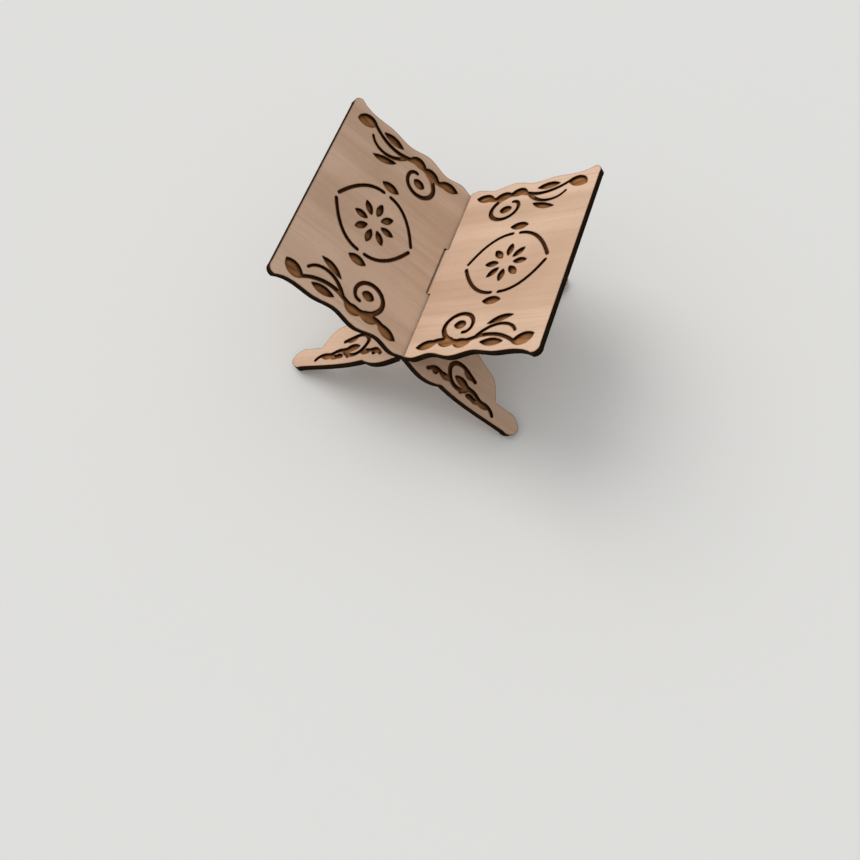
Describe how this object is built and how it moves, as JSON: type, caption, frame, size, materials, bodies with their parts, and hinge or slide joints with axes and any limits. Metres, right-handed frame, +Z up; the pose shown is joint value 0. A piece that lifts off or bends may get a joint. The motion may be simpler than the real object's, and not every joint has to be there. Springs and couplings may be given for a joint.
{
  "type": "quran stand",
  "caption": "X-shaped open book stand of two slotted wooden boards with wavy sides, arched legs and scroll fretwork.",
  "frame": {"origin": "on the floor, midway between the four feet", "axes": "+X to the right wing, +Y from the reader to the back, +Z up"},
  "size_m": [0.295, 0.2556, 0.2075],
  "materials": {
    "base_sheet": "unvarnished light beech face, laser-cut edges burnt near black",
    "fretwork_sheet": "unvarnished light beech face, satin, laser-cut edges burnt near black"
  },
  "bodies": {
    "slotted_board": {"slotted_board_base": "base_sheet", "slotted_board_fretwork": "fretwork_sheet"},
    "notched_board": {"notched_board_base": "base_sheet", "notched_board_fretwork": "fretwork_sheet"}
  },
  "joints": [
    {"name": "fold", "type": "hinge", "parent": "slotted_board", "child": "notched_board", "pos_m": [0, 0, 0.1015], "axis": [0, -1, 0], "range_deg": [0, 38]}
  ]
}
